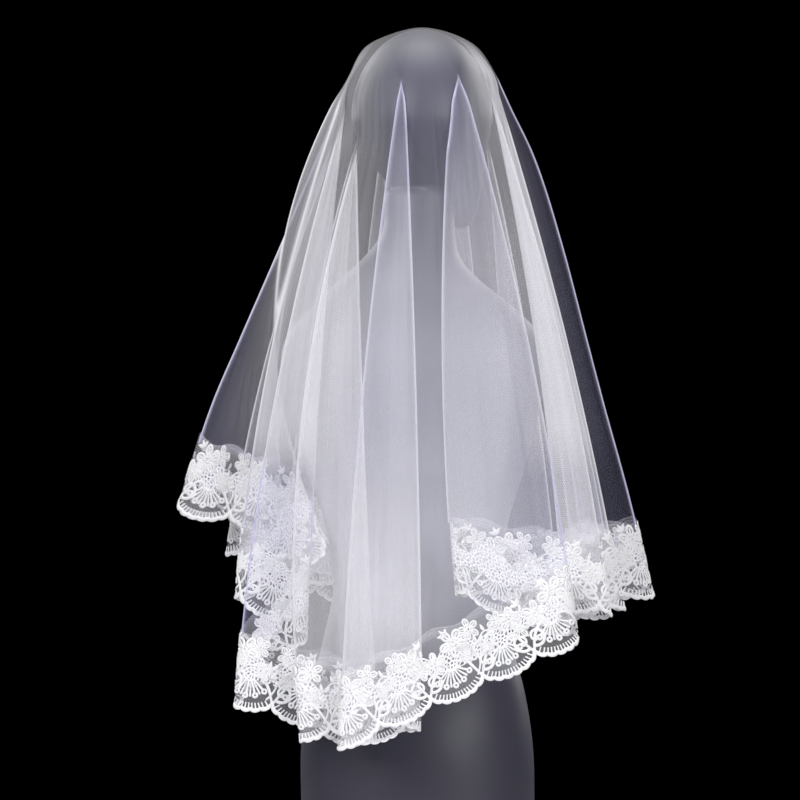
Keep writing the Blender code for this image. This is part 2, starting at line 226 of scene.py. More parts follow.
# %% The surface
def smooth_step(t):
    """Rises from 0 to 1 with flat ends: 3t^2 - 2t^3."""
    t = np.clip(t, 0.0, 1.0)
    return t * t * (3.0 - 2.0 * t)


def smooth_through(x_known, y_known, x):
    """Cubic Hermite curve through the known points, with central slopes."""
    x_known = np.asarray(x_known, float)
    y_known = np.asarray(y_known, float)
    slopes = np.gradient(y_known, x_known)
    x = np.clip(x, x_known[0], x_known[-1])
    i = np.clip(np.searchsorted(x_known, x, side="right") - 1, 0, len(x_known) - 2)
    step = x_known[i + 1] - x_known[i]
    t = (x - x_known[i]) / step
    start = (1 + 2 * t) * (1 - t) ** 2 * y_known[i] + t * (1 - t) ** 2 * slopes[i] * step
    end = t * t * (3 - 2 * t) * y_known[i + 1] + t * t * (t - 1) * slopes[i + 1] * step
    return start + end


def oval_half_sizes(drop):
    """Half sizes left, right, back and front of the veil's oval at each drop. They
    are read against the square root of the drop, which makes the crown round."""
    root = np.sqrt([row[0] for row in SECTIONS])
    at = np.sqrt(np.maximum(drop, 0.0))
    return [smooth_through(root, [row[k] for row in SECTIONS], at) for k in range(1, 5)]


def post_x(post, drop, left, right):
    """x of a fold edge at a drop: a straight line from root to hem, plus a bow of
    4 t (1 - t). The two outlines follow the oval instead."""
    length = FOLDS["hem_drop"][post] - FOLDS["root_drop"][post]
    t = np.clip((drop - FOLDS["root_drop"][post]) / length, 0, LINE_RUN_OUT)
    x = FOLDS["root_x"][post] + (FOLDS["hem_x"][post] - FOLDS["root_x"][post]) * t
    x = x + 4 * FOLDS["bow"][post] * t * (1 - t)
    x = np.where(np.isin(post, LEFT_POSTS), -left, x)
    return np.where(post == RIGHT_POST, right, x)


def raw_veil_point(place, drop):
    """Point of the veil at a place (stretch number plus how far along it) and a drop.
    Folded cloth: x swings from edge to edge as (1 - cos) / 2 while the turn round the
    oval advances mostly in the rounded edges. Plain cloth: both follow the oval. The
    two are mixed as the cloth leaves the head."""
    place = np.mod(place, STRETCHES)
    first = np.minimum(place.astype(int), STRETCHES - 1)
    along = place - first
    left, right, back, front = oval_half_sizes(drop)
    swing = (1 - np.cos(math.pi * along)) / 2
    advance = along + FOLD_ROUNDNESS / (2 * math.pi) * np.sin(2 * math.pi * along)
    x_from = post_x(first, drop, left, right)
    x_to = post_x(first + 1, drop, left, right)
    hem, head = FOLDS["hem_turn"], FOLDS["head_turn"]
    folded_turn = np.radians(hem[first] + (hem[first + 1] - hem[first]) * advance)
    plain_turn = np.radians(head[first] + (head[first + 1] - head[first]) * along)
    plain_x = np.sin(plain_turn) * np.where(plain_turn < 0, left, right)
    share = smooth_step((drop - FOLDS_START) / (FOLDS_FULL - FOLDS_START))
    x = (1 - share) * plain_x + share * (x_from + (x_to - x_from) * swing)
    depth = np.where(first < BACK_STRETCHES, -back, front)
    y = depth * ((1 - share) * np.cos(plain_turn) + share * np.cos(folded_turn))
    return np.stack([x, y, CROWN_HEIGHT - drop], axis=-1)


def along_folds(column, place):
    """A table column read at each place, easing from fold edge to fold edge."""
    place = np.mod(place, STRETCHES)
    first = np.minimum(place.astype(int), STRETCHES - 1)
    swing = (1 - np.cos(math.pi * (place - first))) / 2
    return FOLDS[column][first] * (1 - swing) + FOLDS[column][first + 1] * swing


# The CAD lace is centred on the origin, and the fold tables aren't, so the
# difference of the two middles moves the surface to its place.
every_place = np.linspace(0, STRETCHES, STRETCHES * 240 + 1)
raw_hem = raw_veil_point(every_place, along_folds("hem_drop", every_place))
lace_low, lace_high = (np.array(corner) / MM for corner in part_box("lace_edging"))
SHIFT = (lace_low + lace_high) / 2 - (raw_hem.min(axis=0) + raw_hem.max(axis=0)) / 2
SHIFT[2] = 0.0
print("shift in mm:", SHIFT.round(2).tolist())


def veil_point(place, drop):
    """The veil's surface in the frame's own place."""
    return raw_veil_point(place, drop) + SHIFT


def veil_normal(place, drop):
    """Outward direction: the cross product of the two slopes of the surface."""
    across = veil_point(place + 0.004, drop) - veil_point(place - 0.004, drop)
    down = veil_point(place, drop + 1.0) - veil_point(place, np.maximum(drop - 1.0, 0))
    return unit(np.cross(down, across))


# %% [markdown]
# ## Measuring the hem
#
# To lay lace along the hem we need lengths. One array holds the length walked
# along the hem, another the level part of it. Together with the drop they make a
# flat sheet on which the lace is drawn as on paper, before it is wrapped back on
# to the veil.

# %% The hem as a flat drawing
hem_line = veil_point(every_place, along_folds("hem_drop", every_place))
hem_steps = np.diff(hem_line, axis=0)
LEVEL_AT = np.concatenate([[0], np.cumsum(np.hypot(hem_steps[:, 0], hem_steps[:, 1]))])
LENGTH_AT = np.concatenate([[0], np.cumsum(np.linalg.norm(hem_steps, axis=1))])
HEM_LENGTH = LENGTH_AT[-1]
SCALLOPS = round(HEM_LENGTH / SCALLOP_PITCH)
PITCH = HEM_LENGTH / SCALLOPS
print(f"hem {HEM_LENGTH:.0f} mm, {SCALLOPS} scallops of {PITCH:.1f} mm")


def on_hem(length):
    """Flat place (level length, drop) of a point this far along the hem."""
    turns = np.floor(length / HEM_LENGTH)
    place = np.interp(length - turns * HEM_LENGTH, LENGTH_AT, every_place)
    level = np.interp(place, every_place, LEVEL_AT) + turns * LEVEL_AT[-1]
    return np.stack([level, along_folds("hem_drop", place)], axis=-1)


def hem_axes(length, share=1.0):
    """Unit vectors along and up from the hem in the flat drawing, where share
    turns only part of the way from level."""
    ahead = on_hem(length + 8.0) - on_hem(length - 8.0)
    angle = np.arctan2(ahead[..., 1], ahead[..., 0]) * share
    along = np.stack([np.cos(angle), np.sin(angle)], axis=-1)
    up = np.stack([np.sin(angle), -np.cos(angle)], axis=-1)
    return along, up


def above_hem(length, height):
    """Flat place at a height above the hem: square to it near the edge, and
    straight up from 60 mm on."""
    share = 1 - smooth_step(height / 60.0)
    return on_hem(length) + height[..., None] * hem_axes(length, share)[1]


def wrap(flat, out):
    """Points of the veil for places in the flat drawing, held off it by out mm."""
    level = np.mod(flat[..., 0], LEVEL_AT[-1])
    place = np.interp(level, LEVEL_AT, every_place)
    drop = flat[..., 1]
    return veil_point(place, drop) + veil_normal(place, drop) * out[..., None]


def scallop_drop(length):
    """How far the edge hangs below the points between scallops: a round arc."""
    across = 2 * np.mod(length / PITCH, 1.0) - 1
    return SCALLOP_DEPTH * np.sqrt(np.clip(1 - across**2, 0, 1)) ** SCALLOP_SQUARENESS


# %% [markdown]
# ## Nylon tulle
#
# Bridal tulle is knitted from nylon as thin as hair, in six-sided holes about a
# millimetre wide. Each thread scatters light, but only a few hundredths of the
# area is thread, so one layer is a faint haze and six layers are a bright cloud.
# The shader is a plain nylon surface whose Alpha is that share of thread. Its
# six-sided grain is the sum of three cosines 60 degrees apart, laid out on the
# flat cut, as the knitting is. The real hole would be finer than a pixel, so it
# is drawn 3 mm wide.

# %% Net pattern and tulle
TULLE_HOLE = 3.0
THREAD_FROM = -0.9
THREAD_TO = 0.6


def six_sided_net(tree, uv_name, hole_mm, thread_from, thread_to):
    """Output socket that is 1 on threads and 0 in holes of a six-sided net: the sum of
    three cosines is high in the middle of each hole and low along the threads."""
    wave = 2 * math.pi / (hole_mm * MM * math.cos(math.pi / 6))
    place = add_node(tree, "ShaderNodeUVMap", uv_map=uv_name).outputs["UV"]
    total = None
    for degrees in (0, 60, 120):
        angle = math.radians(degrees)
        direction = (wave * math.cos(angle), wave * math.sin(angle), 0)
        inputs = {0: place, 1: direction}
        dot = add_node(tree, "ShaderNodeVectorMath", inputs, operation="DOT_PRODUCT")
        inputs = {0: dot.outputs["Value"]}
        cosine = add_node(tree, "ShaderNodeMath", inputs, operation="COSINE").outputs[0]
        if total is not None:
            cosine = add_node(tree, "ShaderNodeMath", {0: total, 1: cosine}).outputs[0]
        total = cosine
    inputs = {"Value": total, "From Min": thread_from, "From Max": thread_to, "To Min": 1.0, "To Max": 0.0}
    return add_node(tree, "ShaderNodeMapRange", inputs, interpolation_type="SMOOTHSTEP").outputs[0]


def times(tree, first, second):
    """Product of two values or sockets."""
    return add_node(tree, "ShaderNodeMath", {0: first, 1: second}, operation="MULTIPLY").outputs[0]


def mixed_colour(tree, share, first, second):
    """Colour between two sRGB codes: the first where share is 0, the second at 1."""
    codes = {6: linear(first), 7: linear(second), 0: share}
    return add_node(tree, "ShaderNodeMix", codes, data_type="RGBA").outputs[2]


tulle_material, tree, shader = new_material("nylon_tulle")
shader.inputs["Roughness"].default_value = 0.55
shader.inputs["Specular IOR Level"].default_value = 0.3
shader.inputs["Sheen Weight"].default_value = 0.5
grain = six_sided_net(tree, "Cut", TULLE_HOLE, THREAD_FROM, THREAD_TO)
grain = add_node(tree, "ShaderNodeMapRange", {"Value": grain, "To Min": 0.82, "To Max": 1.25}).outputs[0]
# Fine gathers: long streaks down the cloth, about 12 mm wide at the hem.
fall = add_node(tree, "ShaderNodeUVMap", uv_map="Fall").outputs["UV"]
inputs = {"Vector": fall, "Scale": (85.0, 1.6, 1.0)}
streak_place = add_node(tree, "ShaderNodeMapping", inputs, vector_type="POINT").outputs["Vector"]
inputs = {"Vector": streak_place, "Scale": 1.0, "Detail": 3.0, "Roughness": 0.6}
streak = add_node(tree, "ShaderNodeTexNoise", inputs).outputs[0]
inputs = {"Value": streak, "From Min": 0.32, "From Max": 0.7, "To Min": 0.8, "To Max": 1.2}
streak = add_node(tree, "ShaderNodeMapRange", inputs).outputs[0]
thread_share = add_node(tree, "ShaderNodeAttribute", attribute_name="cover").outputs["Fac"]
cover = times(tree, times(tree, grain, streak), thread_share)
crease = add_node(tree, "ShaderNodeAttribute", attribute_name="crease").outputs["Fac"]
inputs = {0: crease, 1: 0.75, 2: cover}
cover = add_node(tree, "ShaderNodeMath", inputs, operation="MULTIPLY_ADD", use_clamp=True).outputs[0]
# Single threads scatter blue light a little more than a dense fold does.
inputs = {"Value": thread_share, "From Min": 0.05, "From Max": 0.13}
denseness = add_node(tree, "ShaderNodeMapRange", inputs).outputs[0]
tint = mixed_colour(tree, denseness, "#D4D2FA", "#EEEDF4")
tree.links.new(tint, shader.inputs["Base Color"])
tree.links.new(cover, shader.inputs["Alpha"])
print("material:", tulle_material.name)

# %% [markdown]
# ## The net over the head
#
# The net is a grid of points: columns run from the crown to the hem, eighteen in
# each stretch between two fold edges, and rows lie closer together over the
# head. Two UV maps go with it. Cut is the flat round of net before it was laid
# over the head. Fall follows the folds. Where the cloth turns back on itself we
# look along it and see more thread, so the value crease marks those lines.

# %% Tulle shell
HEAD_WIDEST_DROP = 110.0
HEAD_ROOM_ABOVE = (87.0, 100.0, 110.5)
HEAD_ROOM_BELOW = (87.0, 100.0, 136.0)
COLUMNS_PER_STRETCH = 18
CROWN_ROWS = 50
SKIRT_ROWS = 126
CROWN_END = 212.0
CREASE_WIDTH = 1.6
CREASE_DELAY = 24
CREASE_GROWTH = 30
CROWN_COVER = 0.15
SIDE_FROM = 30
SIDE_SPAN = 40
HANG_FROM = 60
HANG_SPAN = 250
HEM_FROM = 470
GATHERS_END = 80
DENSE_HEM_BUILDS = 260
even = np.arange(COLUMNS_PER_STRETCH) / COLUMNS_PER_STRETCH
# Columns crowd towards the fold edges: even steps less 0.9 of a sine.
within = even - 0.9 * np.sin(2 * math.pi * even) / (2 * math.pi)
column_place = (np.arange(STRETCHES)[:, None] + within).ravel()
net_end = along_folds("hem_drop", column_place) - LACE_DEPTH + LACE_LAP
crown_drop = CROWN_END * (np.arange(CROWN_ROWS) / CROWN_ROWS) ** 1.6
skirt_share = np.arange(SKIRT_ROWS + 1) / SKIRT_ROWS
crown_rows = np.repeat(crown_drop[:, None], len(column_place), axis=1)
skirt_rows = CROWN_END + (net_end[None, :] - CROWN_END) * skirt_share[:, None]
drops = np.concatenate([crown_rows, skirt_rows])
places = np.repeat(column_place[None, :], len(drops), axis=0)
net = veil_point(places, drops)
# Where a fold would dip into the head, the net lies on it: points inside an oval
# ball round the head are moved straight out to its surface.
head_middle = SHIFT + np.array([0.0, 0.0, CROWN_HEIGHT - HEAD_WIDEST_DROP])
head_room = np.where(net[..., 2:] > head_middle[2], HEAD_ROOM_ABOVE, HEAD_ROOM_BELOW)
reach = np.linalg.norm((net - head_middle) / head_room, axis=-1, keepdims=True)
net = head_middle + (net - head_middle) / np.clip(reach, 1e-6, 1.0)
walked = np.linalg.norm(np.diff(net, axis=0), axis=-1)
from_crown = np.concatenate([np.zeros((1, len(column_place))), np.cumsum(walked, axis=0)])
level = np.interp(column_place, every_place, LEVEL_AT)
angle = 2 * math.pi * level / LEVEL_AT[-1]
cut_uv = np.stack([from_crown * np.cos(angle), from_crown * np.sin(angle)], axis=-1) * MM
fall_uv = np.stack([np.broadcast_to(level, drops.shape), drops], axis=-1) * MM
# Distance to the nearest fold edge, as it is seen from behind.
edge_before = np.floor(column_place).astype(int) * COLUMNS_PER_STRETCH
edge_after = (edge_before + COLUMNS_PER_STRETCH) % len(column_place)
x_net = net[..., 0]
near = np.minimum(np.abs(x_net - x_net[:, edge_before]), np.abs(x_net - x_net[:, edge_after]))
root = along_folds("root_drop", places)
grown = smooth_step((drops - root - CREASE_DELAY) / CREASE_GROWTH)
crease_value = np.exp(-((near / CREASE_WIDTH) ** 2)) * grown
# On the head the gathers are tighter at the sides than behind and in front.
at_side = smooth_step((np.abs(along_folds("hem_turn", places)) - SIDE_FROM) / SIDE_SPAN)
hang = 0.6 + 0.4 * at_side + 0.35 * (1 - smooth_step(drops / 70))
hang = hang + (1 - hang) * smooth_step((drops - HANG_FROM) / HANG_SPAN)
upper, lower = along_folds("cover", places) * hang, along_folds("hem_cover", places)
# The crown has no gathers: its cover is even and parts into folds further down.
upper = CROWN_COVER + (upper - CROWN_COVER) * smooth_step((drops - 4) / 56)
# Gathers end soon above the hem, and dense hems build up slowly.
low = smooth_step((drops - HEM_FROM) / np.where(lower < upper, GATHERS_END, DENSE_HEM_BUILDS))
cover_value = upper * (1 - low) + lower * low
points = net.reshape(-1, 3)
faces = grid_faces(len(drops), len(column_place), closed=True)
tulle = new_piece(
    "tulle_net",
    points,
    faces,
    tulle_material,
    {"Cut": cut_uv.reshape(-1, 2), "Fall": fall_uv.reshape(-1, 2)},
    {"crease": crease_value.ravel(), "cover": cover_value.ravel()},
)

# %% [markdown]
# ## Lace ground
#
# The edging is embroidered on a net of its own. It is knitted closer than the
# tulle, so it reads as a grey band even where no stitch lies. We use the same
# six-sided pattern with a smaller hole and more thread. Between the motifs lie
# filling stitches: a cell pattern leaves a round hole in each cell, in cloudy
# patches. The band runs along the hem in a grid of its own, whose last row
# follows the scallops.

# %% Lace net
LACE_HOLE = 2.4
FILLING_CELL = 4.5
FILLING_PATCH = 16
lace_net_material, tree, shader = new_material("cotton_lace_net")
shader.inputs["Base Color"].default_value = linear("#F1F0F7")
shader.inputs["Roughness"].default_value = 0.75
shader.inputs["Specular IOR Level"].default_value = 0.2
shader.inputs["Sheen Weight"].default_value = 0.2
# The real hole is 0.8 mm wide and is drawn 2.4 mm wide, so that it shows.
grain = six_sided_net(tree, "Band", LACE_HOLE, THREAD_FROM, THREAD_TO)
inputs = {"Value": grain, "To Min": 0.05, "To Max": 0.24}
ground = add_node(tree, "ShaderNodeMapRange", inputs).outputs[0]
# Filling stitches leave round holes 2 mm wide, one in each cell of 4.5 mm.
band_place = add_node(tree, "ShaderNodeUVMap", uv_map="Band").outputs["UV"]
inputs = {"Vector": band_place, "Scale": 1 / (FILLING_CELL * MM), "Randomness": 0.85}
settings = {"feature": "DISTANCE_TO_EDGE", "voronoi_dimensions": "2D"}
to_wall = add_node(tree, "ShaderNodeTexVoronoi", inputs, **settings).outputs["Distance"]
inputs = {"Value": to_wall, "From Min": 0.2, "From Max": 0.28, "To Min": 1.0, "To Max": 0.0}
filling = add_node(tree, "ShaderNodeMapRange", inputs).outputs[0]
worked = add_node(tree, "ShaderNodeAttribute", attribute_name="worked").outputs["Fac"]
inputs = {"Vector": band_place, "Scale": 1 / (FILLING_PATCH * MM)}
patches = add_node(tree, "ShaderNodeTexNoise", inputs).outputs[0]
worked = add_node(tree, "ShaderNodeMath", {0: worked, 1: patches}).outputs[0]
inputs = {"Value": worked, "From Min": 0.84, "From Max": 0.98, "To Min": 0.0, "To Max": 1.0}
worked = add_node(tree, "ShaderNodeMapRange", inputs, interpolation_type="SMOOTHSTEP").outputs[0]
cover = times(tree, filling, worked)
cover = add_node(tree, "ShaderNodeMath", {0: ground, 1: cover}, operation="MAXIMUM").outputs[0]
tree.links.new(cover, shader.inputs["Alpha"])

BAND_COLUMNS = 20
BAND_ROWS = 30
TULLE_GAP = 1.4
SCROLL_OUT = 9.5
SCROLL_UP = 15
length = np.arange(SCALLOPS * BAND_COLUMNS) * PITCH / BAND_COLUMNS
share = np.linspace(0, 1, BAND_ROWS)[:, None]
band_top = LACE_DEPTH - 4 + 4 * np.cos(2 * math.pi * length / PITCH)
height = band_top * (1 - share) - scallop_drop(length)[None, :] * share
lengths = np.broadcast_to(length, height.shape)
band = wrap(above_hem(lengths, height), np.full(height.shape, TULLE_GAP))
band_uv = np.stack([lengths, height], axis=-1) * MM
# Filling lies below a waving line, and leaves a window round each scroll.
from_junction = np.mod(lengths + PITCH / 2, PITCH) - PITCH / 2
filled_to = 62 - 10 * np.cos(2 * math.pi * lengths / PITCH)
window = np.exp(-(((np.abs(from_junction) - SCROLL_OUT) / 9) ** 2) - ((height - SCROLL_UP) / 10) ** 2)
worked_share = smooth_step((filled_to - height) / 14) * smooth_step((height - 14) / 8) - window
lace_net = new_piece(
    "lace_net",
    band.reshape(-1, 3),
    grid_faces(BAND_ROWS, len(length), closed=True),
    lace_net_material,
    {"Band": band_uv.reshape(-1, 2)},
    {"worked": (0.62 * np.maximum(worked_share, 0)).ravel()},
)

# %% [markdown]
# ## Embroidery thread
#
# The motifs are satin stitch: soft white thread laid side by side over a
# padding, so each cord stands about a millimetre proud and shines a little along
# the stitches. A wave across each cord gives the stitches as relief, and also
# paints the grooves between them a little grey as painted shade. The thread
# is 0.3 mm thick and is drawn 1 mm, the finest that still shows.

# %% Thread
thread_material, tree, shader = new_material("rayon_satin_stitch")
shader.inputs["Roughness"].default_value = 0.5
shader.inputs["Specular IOR Level"].default_value = 0.4
shader.inputs["Sheen Weight"].default_value = 0.3
place = add_node(tree, "ShaderNodeUVMap", uv_map="Stitch").outputs["UV"]
# Blender's band texture has 20 / (2 pi) bands to a unit, so this is one stitch a mm.
inputs = {"Vector": place, "Scale": 2 * math.pi / 20 / MM, "Distortion": 0.6, "Detail": 1.0}
stitches = add_node(tree, "ShaderNodeTexWave", inputs, bands_direction="X").outputs["Fac"]
inputs = {"Strength": 0.5, "Distance": 0.0004, "Height": stitches}
relief = add_node(tree, "ShaderNodeBump", inputs).outputs["Normal"]
tree.links.new(relief, shader.inputs["Normal"])
# Painted shade: the grooves between stitches are painted grey and the tops white.
tree.links.new(mixed_colour(tree, stitches, "#EDECF2", "#FFFFFF"), shader.inputs["Base Color"])
print("material:", thread_material.name)

# %% [markdown]
# ## Stitching by the yard
#
# Every cord, leaf and petal is a path in the flat drawing with a width that
# changes along it. The helper takes many copies of a path at once, lays four
# points across each, low at the sides and high in the middle, and wraps them all
# on to the veil in one step.

# %% Cords
CORD_ACROSS = np.array([-1.0, -0.5, 0.5, 1.0])
CORD_RISE = np.array([0.1, 1.0, 1.0, 0.1])
STITCH_BASE = TULLE_GAP + 0.2


def cords(paths, half_width, rise=0.9):
    """Points, faces and UVs of cords. paths is copies by points by 2 in the flat
    drawing. Each point is moved square to its path by CORD_ACROSS half widths."""
    copies, count = paths.shape[:2]
    half_width = np.broadcast_to(half_width, (copies, count))
    ahead = unit(np.gradient(paths, axis=1))
    side = np.stack([-ahead[..., 1], ahead[..., 0]], axis=-1)
    offset = half_width[..., None] * CORD_ACROSS
    flat = paths[:, :, None, :] + side[:, :, None, :] * offset[..., None]
    points = wrap(flat, STITCH_BASE + rise * np.broadcast_to(CORD_RISE, offset.shape))
    faces = grid_faces(count, len(CORD_ACROSS), closed=False)
    starts = np.arange(copies)[:, None, None] * count * len(CORD_ACROSS)
    steps = np.linalg.norm(np.diff(paths, axis=1), axis=-1)
    walked = np.concatenate([np.zeros((copies, 1)), np.cumsum(steps, axis=1)], axis=1)
    uv = np.stack([np.broadcast_to(walked[..., None], offset.shape), offset], axis=-1) * MM
    return points.reshape(-1, 3), (faces[None] + starts).reshape(-1, 4), uv.reshape(-1, 2)


def new_embroidery(name, parts, material=thread_material, uv_name="Stitch"):
    """One piece of thread from a list of cords."""
    counts = np.cumsum([0] + [len(points) for points, _, _ in parts])
    points = np.concatenate([part[0] for part in parts])
    faces = np.concatenate([part[1] + start for part, start in zip(parts, counts)])
    uv = np.concatenate([part[2] for part in parts])
    return new_piece(name, points, faces, material, {uv_name: uv})


centres = (np.arange(SCALLOPS) + 0.5) * PITCH
junctions = np.arange(SCALLOPS) * PITCH


def bent(path, at):
    """Copies of a path given as along and up, that bend with the hem itself."""
    length = at[:, None] + path[None, :, 0]
    return above_hem(length, np.broadcast_to(path[None, :, 1], length.shape))


def stamped(path, at, up, size=1.0, turn=0.0, flip=1.0):
    """Copies of a path set down whole at a height above the hem, turned with it."""
    size, turn, flip = (np.broadcast_to(np.asarray(v, float), at.shape) for v in (size, turn, flip))
    lift = np.broadcast_to(np.asarray(up, float), at.shape)
    along, upward = hem_axes(at, 0.8)
    x = path[None, :, 0] * size[:, None]
    y = path[None, :, 1] * size[:, None]
    cos, sin = np.cos(turn)[:, None], np.sin(turn)[:, None]
    x, y = (x * cos - y * sin) * flip[:, None], x * sin + y * cos
    middle = above_hem(at, lift)
    return middle[:, None] + x[..., None] * along[:, None] + y[..., None] * upward[:, None]


# %% [markdown]
# ## The scalloped edge
#
# Along each scallop runs a thick cord with tiny bumps, the picots, on its outer
# side. Behind it stand short bars like the teeth of a comb, then a fan of little
# rings on stalks. All of it bends with the hem.

# %% Edge cord, bars and rings
PICOTS = 6
edge_count = SCALLOPS * PICOTS * 8
edge_length = np.arange(edge_count + 1) * HEM_LENGTH / edge_count
bump = np.abs(np.sin(math.pi * PICOTS * edge_length / PITCH)) ** 0.7
edge_height = 2.4 - scallop_drop(edge_length) - 2.2 * bump
edge_path = above_hem(edge_length, edge_height)[None]
parts = [cords(edge_path, 1.9 + 0.6 * bump, rise=1.3)]

FAN = np.array([0.0, 26.0])
half = PITCH / 2
for across in np.linspace(-0.9, 0.9, 15):
    start = np.array([half * across, 1.5 - scallop_drop(np.array(half * (across + 1)))])
    towards = unit(FAN - start)
    path = start + towards * np.array([0.0, 4.0, 8.0])[:, None]
    parts.append(cords(bent(path, centres), np.array([1.0, 0.75, 0.85]), rise=0.7))

turn = np.linspace(0, 2 * math.pi, 11)
for degrees, reach in ((-56, 25), (-28, 24), (0, 24), (28, 24), (56, 25)):
    angle = math.radians(degrees)
    direction = np.array([math.sin(angle), -math.cos(angle)])
    middle = FAN + direction * reach
    loop = middle + 2.5 * np.stack([np.sin(turn), np.cos(turn)], axis=-1)
    parts.append(cords(bent(loop, centres), 1.4))
    stalk = FAN + direction * np.array([7.0, 14.0, reach - 3.5])[:, None]
    parts.append(cords(bent(stalk, centres), np.array([1.5, 1.1, 1.5])))
for degrees in (-42, -14, 14, 42):
    angle = math.radians(degrees)
    ray = FAN + np.array([[math.sin(angle), -math.cos(angle)]]) * np.array([9.0, 17.0, 25.0])[:, None]
    parts.append(cords(bent(ray, centres), np.array([0.6, 1.1, 1.3])))
for side in (-1, 1):
    t = np.linspace(0, 1, 12)
    path = np.stack([side * (6 + 27 * t), 27 - 26 * t**1.7 + 5 * np.sin(math.pi * t)], axis=-1)
    parts.append(cords(bent(path, centres), 1.4 + 0.4 * np.sin(math.pi * t)))
turn = np.linspace(math.radians(-110), math.radians(110), 12)
arch = FAN + 6.5 * np.stack([np.sin(turn), -np.cos(turn)], axis=-1)
parts.append(cords(bent(arch, centres), 1.5))
edge = new_embroidery("lace_scallop_stitches", parts)

# %% [markdown]
# ## Scrolls and leaves
#
# Over each point between two scallops curls a scroll with a small ball at its
# end, and by turns a second one faces it or a sprig of four leaves stands over
# it. A scroll is a spiral: its radius shrinks as it turns. A leaf is a short path
# whose width swells as a sine. A vine joins flower to flower above them.

# %% Scrolls, sprigs and vines
SPRIG_OUT = 7
SPRIG_UP = 25
VINE_UP = 44
LONG_LEAF_OUT = 19
LONG_LEAF_UP = 33
LONG_LEAF_TURN = 0.7


def leaf(length, degrees, start=(0.0, 0.0), curl=0.0, count=7):
    """Path of a leaf from its foot, at an angle from upright that grows by curl."""
    t = np.linspace(0, 1, count)
    angle = np.radians(degrees + curl * t)
    steps = np.stack([np.sin(angle), np.cos(angle)], axis=-1) * length / (count - 1)
    return np.array(start) + np.cumsum(steps, axis=0) - steps[0]


def swell(width, count=7):
    """Half width along a leaf: a sine, from a thin foot to a thin tip."""
    return 0.35 + width * np.sin(math.pi * np.linspace(0, 1, count) ** 0.8)


parts = []
is_even = np.arange(SCALLOPS) % 2 == 0
mirror = np.where(is_even, 1.0, -1.0)
t = np.linspace(0, 1, 24)
turn = math.radians(-130) + math.radians(430) * t
radius = 9.0 * (1 - t) ** 0.8 + 2.4
spiral = radius[:, None] * np.stack([np.cos(turn), np.sin(turn)], axis=-1)
ball = spiral[-1] + np.array([[-1.8, 0.0], [-0.9, 0.0], [0.9, 0.0], [1.8, 0.0]])
ball_width = np.array([0.8, 2.1, 2.1, 0.8])
scroll_width = 1.4 + 0.5 * (1 - t)
pairs = ((junctions + SCROLL_OUT, 1.0), (junctions[is_even] - SCROLL_OUT, -1.0))
for at, flip in pairs:
    parts.append(cords(stamped(spiral, at, SCROLL_UP, flip=flip), scroll_width))
    parts.append(cords(stamped(ball, at, SCROLL_UP, flip=flip), ball_width, rise=1.2))
odd_junctions = junctions[~is_even]
for degrees, long in ((-62, 11), (-22, 13), (18, 13), (52, 10)):
    path = leaf(long, degrees, (0, 2), curl=18)
    parts.append(cords(stamped(path, odd_junctions - SPRIG_OUT, SPRIG_UP), swell(1.7)))
t = np.linspace(0, 1, 12)
stem = np.stack([8 * np.sin(2.0 * t), -22 + 24 * t], axis=-1)
parts.append(cords(stamped(stem, odd_junctions - SPRIG_OUT, SPRIG_UP), 1.2))
# Vine from flower to flower over the scrolls, with leaves on both sides.
vine = np.stack([-20 + 40 * t, 6 * np.sin(2 * math.pi * t)], axis=-1)
parts.append(cords(stamped(vine, junctions, VINE_UP, flip=mirror), 1.1))
VINE_LEAVES = ((-40, (-14, 5)), (30, (-9, 6)), (150, (-4, 2)), (20, (5, -3)), (150, (9, -6)), (40, (14, -5)))
for degrees, foot in VINE_LEAVES:
    path = leaf(9.5, degrees, foot, curl=-25)
    parts.append(cords(stamped(path, junctions, VINE_UP, flip=mirror), swell(1.7)))
# A long leaf drawn as an outline with ribs, beside each flower.
outline_turn = np.linspace(0, 2 * math.pi, 20)
outline_leaf = np.stack([5.2 * np.sin(outline_turn), 13 * np.cos(outline_turn)], axis=-1)
at = centres + LONG_LEAF_OUT * mirror
for height in (-8, -4, 0, 4, 8):
    rib = np.array([[-3.8, height - 2.0], [0.0, height], [3.8, height + 2.0]])
    parts.append(cords(stamped(rib, at, LONG_LEAF_UP, turn=LONG_LEAF_TURN, flip=mirror), 0.8))
parts.append(cords(stamped(outline_leaf, at, LONG_LEAF_UP, turn=LONG_LEAF_TURN, flip=mirror), 1.3))
scrolls = new_embroidery("lace_scroll_stitches", parts)

# %% [markdown]
# ## Flowers
#
# Above each fan opens a five-petalled flower, large and small by turns, with
# three smaller ones and a bud of three leaves beside it. A petal is an oval loop
# of cord with a rib in it, so net shows inside it. No two flowers are the same: a
# sine of the scallop's number changes their size, height and turn a little.

